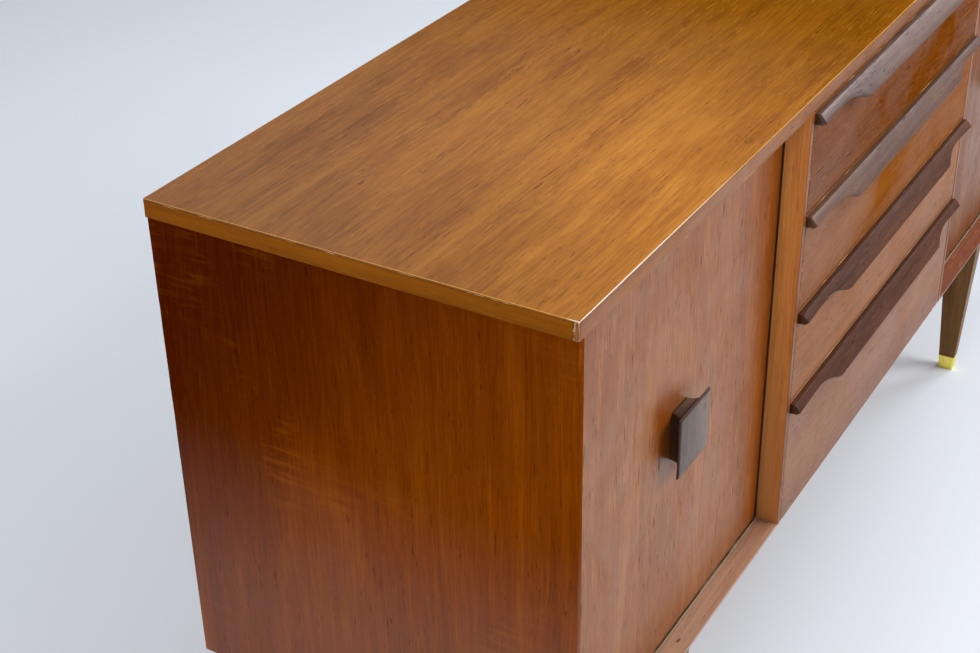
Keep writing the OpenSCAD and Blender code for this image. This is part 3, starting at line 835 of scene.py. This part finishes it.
board("back_board", "back_panel", "x", "case", "inside_wood", HARDBOARD, radius=0.0004, step=0.08)
board(
    "bottom_board", "bottom_panel", "x", "case", "inside_wood", INSIDE_X,
    low=Vector((-end_low.x, bottom_low.y, bottom_low.z)),
    high=Vector((end_low.x, bottom_high.y, bottom_high.z)), radius=0.0006, step=0.08,
)
for side_name, from_x, to_x in (
    ("left", bottom_low.x, -end_low.x), ("right", end_low.x, bottom_high.x),
):
    board(
        side_name + "_bottom_ear", "bottom_panel", "x", "case", "inside_wood", INSIDE_X,
        low=Vector((from_x, bottom_low.y, end_low.z)), high=Vector((to_x, lip_back, bottom_high.z)),
        radius=0.0004, support=0.001, step=0.01,
    )

# ---- drawers ----

# A handle's sizes, as in the CAD, and the two shapes of its finger hollow.
HANDLE_LAND = 5.6 * MM
HANDLE_DROP = 18 * MM
HANDLE_BACK = 13.5 * MM
HANDLE_LIP = 6.5 * MM
HANDLE_NECK = 10 * MM
HANDLE_END = 11.6 * MM
HANDLE_WAIST = 60 * MM
HANDLE_SHOULDER = 109 * MM
HANDLE_DEEP = 23 * MM
HANDLE_CROWN = 0.3 * MM
SHOULDER_STEP = 3.5 * MM
FULL_HOLLOW = Vector((-HANDLE_LAND - 1.9 * MM, -HANDLE_BACK + 1.5 * MM))
THIN_HOLLOW = Vector((-4.8 * MM, -HANDLE_BACK + MM))


def smooth_step(low, high, value):
    """0 below low, 1 above high and a smooth step between them."""
    t = max(0.0, min(1.0, (value - low) / (high - low)))
    return t * t * (3 - 2 * t)


def handle(number):
    """A long handle: flat top, sloping face, lip hollowed behind, and ends that sweep up."""
    low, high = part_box(f"drawer_{number}_handle")
    half, top = high.x, high.z
    run_out = high.y - low.y - HANDLE_LAND
    full = math.hypot(run_out, HANDLE_DROP)
    down = Vector((-run_out, -HANDLE_DROP)) / full
    into = Vector((-down.y, down.x))
    waist, shoulder = half - HANDLE_WAIST, half - HANDLE_SHOULDER
    rise = HANDLE_DEEP - HANDLE_NECK
    run = waist - shoulder
    sweep = (run * run + rise * rise) / (2 * rise)

    def depth(x):
        a = abs(x)
        if a >= waist:
            return HANDLE_NECK + (HANDLE_END - HANDLE_NECK) * (a - waist) / HANDLE_WAIST
        if a >= shoulder:
            return HANDLE_NECK + sweep - math.sqrt(sweep * sweep - (a - waist) ** 2)
        return HANDLE_DEEP + (full - HANDLE_DEEP) * smooth_step(shoulder, shoulder - SHOULDER_STEP, a)

    def section(x):
        d = depth(x)
        share = (d - HANDLE_NECK) / (full - HANDLE_NECK)
        land = Vector((-HANDLE_LAND, 0.0))
        tip = land + down * d
        middle = land + down * d * 0.5 - into * HANDLE_CROWN
        lip = tip + into * (HANDLE_LIP - 0.2 * MM)
        hollow = FULL_HOLLOW.lerp(THIN_HOLLOW, 1 - smooth_step(0.0, 0.35, share))
        back = Vector((0.0, -HANDLE_BACK))
        points = [Vector((0.0, 0.0)), land, middle, tip, lip, hollow, back]
        return [Vector((FRONT + p.x, top + p.y)) for p in points]

    radii = [0.0002, 0.0011, 0.004, 0.0010, 0.0016, 0.0024, 0.0002]
    near_shoulder = (-3.0 * MM, -1.5 * MM, 0.0, 1.2 * MM)
    places = sorted(
        [-half] + spread(-half + 0.004, half - 0.004, 0.0045)[1:-1] + [half]
        + [side * (shoulder + d) for side in (-1, 1) for d in near_shoulder]
    )
    bm, edge = new_mesh()
    add_length(bm, edge, section, radii, "x", places, 0.0012, 0.0016)
    piece(
        f"drawer_{number}_grip", bm, f"drawer_{number}", HANDLE,
        (f"drawer_{number}_handle",), 0.0003, 20.0 + number,
    )


for number in range(1, 5):
    body = f"drawer_{number}"
    board(
        f"drawer_{number}_face", f"drawer_{number}_front", "x", body, "front_veneer", DRAWER,
        radius=0.0008, step=0.008, dents=0.0005, seed=30.0 + number,
    )
    handle(number)
    board(
        f"drawer_{number}_back_board", f"drawer_{number}_back", "x", body, "drawer_wood", BOX_X,
        step=0.1,
    )
    board(
        f"drawer_{number}_base", f"drawer_{number}_bottom", "x", body, "drawer_wood", BOX_X,
        radius=0.0003, support=0.001, step=0.1,
    )


# ---- door pulls ----

PULL_CHAMFER = 3.6 * MM
PULL_PLATE = 3 * MM
PULL_NECK = (17 * MM, 28 * MM)


def rounded_rectangle(centre, half_a, half_b, radius, y, wear, side_steps=6, corner_steps=4):
    """A ring in the XZ plane at depth y, drawn from its lower right corner anticlockwise."""
    radius = min(radius, 0.95 * min(half_a, half_b))

    def at(corner_x, corner_z, degrees):
        angle = math.radians(degrees)
        return Vector((
            centre.x + corner_x * (half_a - radius) + radius * math.cos(angle), y,
            centre.z + corner_z * (half_b - radius) + radius * math.sin(angle),
        ))

    ring = []
    for x, z, start in ((1, -1, -90), (1, 1, 0), (-1, 1, 90), (-1, -1, 180)):
        ring += [at(x, z, start + 90 * k / corner_steps) for k in range(corner_steps + 1)]
        next_x, next_z = -z, x
        for k in range(1, side_steps):
            t = k / side_steps
            ring.append(at(x + (next_x - x) * t, z + (next_z - z) * t, start + 90))
    return [(p, wear) for p in ring]


def pull(side_name):
    """A square plate with a crowned, chamfered face on a neck that is coved on all sides."""
    low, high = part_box(side_name + "_pull")
    centre = (low + high) / 2
    half_a, half_b = (high.x - low.x) / 2, (high.z - low.z) / 2
    reach = high.y - low.y
    cove = reach - PULL_PLATE
    neck_a, neck_b = PULL_NECK
    cove_b = half_b - neck_b
    rings = []

    def ring(a, b, out, radius, wear):
        rings.append(rounded_rectangle(centre, a, b, radius, high.y - out, wear))

    # The crowned face from its middle outwards, then the chamfer and the plate's edge.
    for share in (0.06, 0.25, 0.45, 0.65, 0.82, 0.94, 0.985):
        ring(
            (half_a - PULL_CHAMFER) * share, (half_b - PULL_CHAMFER) * share,
            reach - 0.0007 * share * share, 0.0016 * share, 0.0,
        )
    # The chamfer's edge value gives it the pull's dark worn colour, as painted shade.
    for k in range(7):
        angle = math.pi / 2 * k / 6
        in_by = PULL_CHAMFER * (1 - math.sin(angle))
        fall = 0.0008 + 0.62 * PULL_CHAMFER * (1 - math.cos(angle))
        ring(half_a - in_by, half_b - in_by, reach - fall, 0.0018, 1.0 if k > 1 else 0.3 * k)
    ring(half_a, half_b, cove + 0.0003, 0.0018, 1.0)
    ring(half_a - 0.0003, half_b - 0.0002, cove, 0.0018, 1.0)

    # The coves behind the plate, down to the neck and the door.
    for k in range(13):
        angle = math.pi / 2 * k / 12
        out = cove * math.cos(angle)
        a = neck_a + cove * (1 - math.sin(angle))
        rest = max(0.0, out - (cove - cove_b))
        b = half_b - math.sqrt(max(0.0, cove_b ** 2 - rest ** 2)) if rest > 0 else neck_b
        ring(min(a, half_a - 0.0006), min(b, half_b - 0.0004), out, 0.0014, 0.0)
    bm, edge = new_mesh()
    loft(bm, rings, edge)
    piece(
        side_name + "_knob", bm, side_name + "_door_body", PULL,
        (side_name + "_pull",), 0.0002, 40.0,
    )


pull("left")
pull("right")


# ---- legs ----

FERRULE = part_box("front_right_ferrule")[1].z
LEG_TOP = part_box("front_right_leg")[1].z
SOLE = 1.5 * MM


def leg_and_cup(name):
    """A tapered leg with eased corners, and the brass cup on its foot."""
    low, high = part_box(name + "_leg")
    centre = (low + high) / 2
    half_top = (high - low) / 2
    cup_low, cup_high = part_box(name + "_ferrule")
    half_cup = (cup_high - cup_low) / 2
    slope = (half_top - half_cup) / (LEG_TOP - FERRULE)

    def square(z, inset=0.0, radius=0.0015, wear=0.0):
        """The leg's section at a height, moved in by inset."""
        half = half_cup + slope * (z - FERRULE)
        corners = [
            Vector((centre.x + x * (half.x - inset), centre.y + y * (half.y - inset)))
            for x, y in ((-1, -1), (1, -1), (1, 1), (-1, 1))
        ]
        return [(LIFT["z"](z, p), max(w, wear)) for p, w in eased(corners, [radius] * 4, 0.0026)]

    bm, edge = new_mesh()
    rings = [square(SOLE, 0.0014, 0.0008), square(FERRULE - 0.0002, 0.0011, 0.0008)]
    rings += [square(FERRULE, 0.0004, 0.0012, 1.0), square(FERRULE + 0.0005, 0.0, 0.0013, 1.0)]
    rings += [square(z) for z in spread(FERRULE + 0.003, LEG_TOP - 0.003, 0.009)]
    rings += [square(LEG_TOP - 0.0003, wear=0.3), square(LEG_TOP, 0.0003, wear=0.3)]
    loft(bm, rings, edge)
    piece(name + "_leg_taper", bm, "case", LEG, (name + "_leg",), 0.0004, 50.0)

    # The cup's sole and foot, its side, and its rim turned in towards the leg.
    bm, edge = new_mesh()
    rings = [
        square(0.0006, 0.0040, 0.0012), square(0.0, 0.0030, 0.0012), square(0.0, 0.0009, 0.0014, 0.6),
        square(0.0003, 0.0003, wear=1.0), square(0.0010, wear=0.8), square(0.0030),
    ]
    rings += [square(z) for z in spread(0.005, FERRULE - 0.003, 0.004)]
    rings += [
        square(FERRULE - 0.0008, wear=1.0), square(FERRULE - 0.0001, 0.0002, 0.0014, 1.0),
        square(FERRULE, 0.0005, 0.0013, 1.0), square(FERRULE - 0.0002, 0.0009, 0.0011, 0.5),
        square(FERRULE - 0.0010, 0.0010, 0.0010), square(SOLE, 0.0010, 0.0010),
    ]
    loft(bm, rings, edge)
    piece(name + "_cup", bm, "case", BRASS, (name + "_ferrule",), 0.0001, 60.0)


for row in ("front", "back"):
    for side_name in ("left", "right"):
        leg_and_cup(f"{row}_{side_name}")


# ---- screws and pins ----

ROUND = 20
TURNS = [2 * math.pi * k / ROUND for k in range(ROUND)]


def slotted_head(bm, edge, centre, out, along_slot, radius, height, slot):
    """A domed screw head: a disc with two half domes on it, and a slot between them."""
    out, along_slot = Vector(out), Vector(along_slot)
    across = out.cross(along_slot)

    def at(a, b, up):
        return centre + along_slot * a + across * b + out * up

    def circle(share, up):
        return [
            (at(radius * share * math.cos(t), radius * share * math.sin(t), up), 0.0) for t in TURNS
        ]

    base = 0.35 * height
    disc = [circle(0.96, 0.0), circle(1.0, 0.15 * base), circle(1.0, 0.8 * base), circle(0.97, base)]
    loft(bm, disc, edge)
    for side in (-1, 1):
        rings = []
        for k in range(5):
            t = k / 4 * 0.86
            r = radius * 0.985 * math.cos(t * 1.25)
            rise = math.sin(t * math.pi / 2) / math.sin(0.43 * math.pi)
            up = base * 0.9 + (height - base * 0.9) * rise
            start = math.asin(min(0.9, slot / r))
            arc = [start + (math.pi - 2 * start) * j / 10 for j in range(11)]
            wear = 1.0 if k == 4 else 0.0
            rings.append([(at(r * math.cos(a), side * max(r * math.sin(a), slot), up), wear) for a in arc])
        loft(bm, rings, edge)


# Screws through the back panel into the end panels, the dividers and the bottom panel.
SCREW_ROWS = 5
SCREW_LOWEST = 40 * MM
SCREW_ENDS = 90 * MM
SCREW_DROP = 4 * MM
LOW_SCREWS = (0.120, 0.430, 0.620)
HEAD_RADIUS = 2.8 * MM
HEAD_SLOT = 0.45 * MM
screw_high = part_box("back_screws")[1]
columns = [screw_high.x - HEAD_RADIUS, divider_high.x - 9.5 * MM]
pitch = (band_high.z - end_low.z - SCREW_ENDS) / (SCREW_ROWS - 1)
levels = [end_low.z + SCREW_LOWEST + k * pitch for k in range(SCREW_ROWS)]
places = [(x, z) for x in columns for z in levels]
places += [(x, end_low.z - SCREW_DROP) for x in LOW_SCREWS]
bm, edge = new_mesh()
for side in (-1, 1):
    for k, (x, z) in enumerate(places):
        turn = 0.7 + 1.9 * k + side
        slotted_head(
            bm, edge, Vector((side * x, back_high.y, z)), (0, 1, 0),
            (math.cos(turn), 0, math.sin(turn)), HEAD_RADIUS, screw_high.y - back_high.y, HEAD_SLOT,
        )
piece("back_screw_heads", bm, "case", STEEL, ("back_screws",))

# Hinge pins with a turned finial at each end: radius and height above the middle, in mm.
FINIAL = [
    (0.2, 29.2), (1.2, 29.0), (1.9, 28.4), (2.1, 27.7), (1.8, 27.0), (1.2, 26.6), (1.5, 26.2),
    (2.6, 25.9), (2.8, 25.6), (2.6, 25.3), (1.5, 25.2),
]
SHANK = [(1.5, 12.0), (1.5, -12.0)]
PIN_PROFILE = FINIAL + SHANK + [(r, -h) for r, h in reversed(FINIAL)]
PIN_RADIUS = 1.5 * MM
PIN_HALF = 26 * MM
pin_low, pin_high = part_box("hinge_pins")
pin_x, pin_y = pin_high.x - PIN_RADIUS, (pin_low.y + pin_high.y) / 2
hinge_middles = [pin_low.z + PIN_HALF, pin_high.z - PIN_HALF]


def pin_ring(centre, radius, height):
    """One ring of a pin's profile, worn where the finial is widest."""
    wear = 1.0 if radius > 2.4 else 0.0
    return [
        (centre + MM * Vector((radius * math.cos(t), radius * math.sin(t), height)), wear) for t in TURNS
    ]


bm, edge = new_mesh()
for side in (-1, 1):
    for middle in hinge_middles:
        loft(bm, [pin_ring(Vector((side * pin_x, pin_y, middle)), r, h) for r, h in PIN_PROFILE], edge)
piece("hinge_pins_turned", bm, "case", BRASS, ("hinge_pins",))

# Small screws in the hinge leaves and the strike plates.
LEAF = 1.2 * MM
LEAF_SCREWS = ((-17 * MM, 0.0), (0.0, 3 * MM), (17 * MM, 0.0))
STRIKE_INSET = 5 * MM
strike_low, strike_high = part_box("right_strike_plate")
strike_z = (strike_low.z + strike_high.z) / 2
case_leaf_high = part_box("right_hinge_case_leaves")[1]
door_leaf_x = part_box("right_hinge_door_leaves")[0].x + LEAF
screw_y = case_leaf_high.y - 7 * MM
for side_name, side in (("left", -1), ("right", 1)):
    for name, body, x, out in (
        ("door", side_name + "_door_body", door_leaf_x, side),
        ("case", "case", case_leaf_high.x - LEAF, -side),
    ):
        bm, edge = new_mesh()
        for middle in hinge_middles:
            for k, (up, back) in enumerate(LEAF_SCREWS):
                turn = 0.5 + k * 1.3
                slotted_head(
                    bm, edge, Vector((side * x, screw_y + back, middle + up)), (out, 0, 0),
                    (0, math.cos(turn), math.sin(turn)), 2.6 * MM, 0.22 * MM, 0.35 * MM,
                )
        piece(f"{side_name}_{name}_leaf_screws", bm, body, BRASS)
    bm, edge = new_mesh()
    for turn, x in ((0.4, strike_low.x + STRIKE_INSET), (1.4, strike_high.x - STRIKE_INSET)):
        slotted_head(
            bm, edge, Vector((side * x, strike_high.y, strike_z)), (0, 1, 0),
            (math.cos(turn), 0, math.sin(turn)), 2.4 * MM, 0.45 * MM, 0.35 * MM,
        )
    piece(side_name + "_strike_screws", bm, side_name + "_door_body", STEEL)


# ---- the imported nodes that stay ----

STAYS = {
    "drawer_runners": INSIDE_Z, "shelf_pins": BRASS, "door_catches": PLASTIC,
    "leg_inserts": STEEL, "leg_bolts": STEEL,
}
for side_name in ("left", "right"):
    STAYS[side_name + "_hinge_case_leaves"] = BRASS
    STAYS[side_name + "_hinge_door_leaves"] = BRASS
    STAYS[side_name + "_strike_plate"] = STEEL
for number in range(1, 5):
    STAYS[f"drawer_{number}_sides"] = BOX_Y
METAL_EASE = 0.3 * MM
WOOD_EASE = 0.5 * MM
for node, material in STAYS.items():
    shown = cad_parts[node]
    shown.data.materials.clear()
    shown.data.materials.append(material)
    weld = shown.modifiers.new("weld", "WELD")
    weld.merge_threshold = 0.02 * MM
    ease = shown.modifiers.new("ease", "BEVEL")
    ease.width = METAL_EASE if material in (BRASS, STEEL) else WOOD_EASE
    ease.segments = 2
    ease.limit_method = "ANGLE"
    ease.angle_limit = math.radians(50)
    ease.use_clamp_overlap = True


# ---- floor and light ----

FLOOR_COLOUR = (0.72, 0.75, 0.79, 1.0)
FLOOR_GREY = (0.5, 0.5, 0.5, 1.0)
FLOOR_RADIUS = 16.0
SKY_COLOUR = (0.72, 0.77, 0.88, 1.0)
SKY_STRENGTH = 0.42


def floor_material():
    """Plain pale paper with a very faint grain."""
    s = Shader("floor_paper")
    fine = s.noise(s.stretch((60.0, 60.0, 60.0)), detail=4.0)
    s.set(Base_Color=s.mix(s.math("MULTIPLY", fine, 0.05), FLOOR_COLOUR, FLOOR_GREY), Roughness=0.6)
    return s.material


floor_mesh = bpy.data.meshes.new("floor")
bm = bmesh.new()
bmesh.ops.create_circle(bm, cap_ends=True, radius=FLOOR_RADIUS, segments=96)
bm.to_mesh(floor_mesh)
bm.free()
floor_mesh.materials.append(floor_material())
floor = bpy.data.objects.new("floor", floor_mesh)
SCENE.collection.objects.link(floor)


def soft_light(name, place, target, width, height, power, colour):
    """A rectangular light at a place, facing a target."""
    data = bpy.data.lights.new(name, "AREA")
    data.shape = "RECTANGLE"
    data.size, data.size_y = width, height
    data.energy = power
    data.color = colour
    made = bpy.data.objects.new(name, data)
    made.location = place
    made.rotation_euler = (Vector(target) - Vector(place)).to_track_quat("-Z", "Y").to_euler()
    SCENE.collection.objects.link(made)


soft_light("key", (1.5, -3.2, 3.0), (0.2, -0.2, 0.3), 2.2, 1.8, 150, (0.96, 0.98, 1.0))
soft_light("side", (3.6, -1.5, 2.6), (0.0, 0.0, 0.7), 1.3, 1.4, 60, (0.90, 0.96, 1.0))
soft_light("overhead", (-0.2, 0.3, 3.6), (0.0, 0.0, 0.4), 3.0, 3.0, 66, (1.0, 0.98, 0.95))
soft_light("fill", (-3.7, 0.1, 1.5), (-0.8, 0.0, 0.5), 2.0, 1.6, 44, (1.0, 0.98, 0.95))

world = bpy.data.worlds.new("studio")
world.use_nodes = True
background = world.node_tree.nodes["Background"]
background.inputs["Color"].default_value = SKY_COLOUR
background.inputs["Strength"].default_value = SKY_STRENGTH
SCENE.world = world
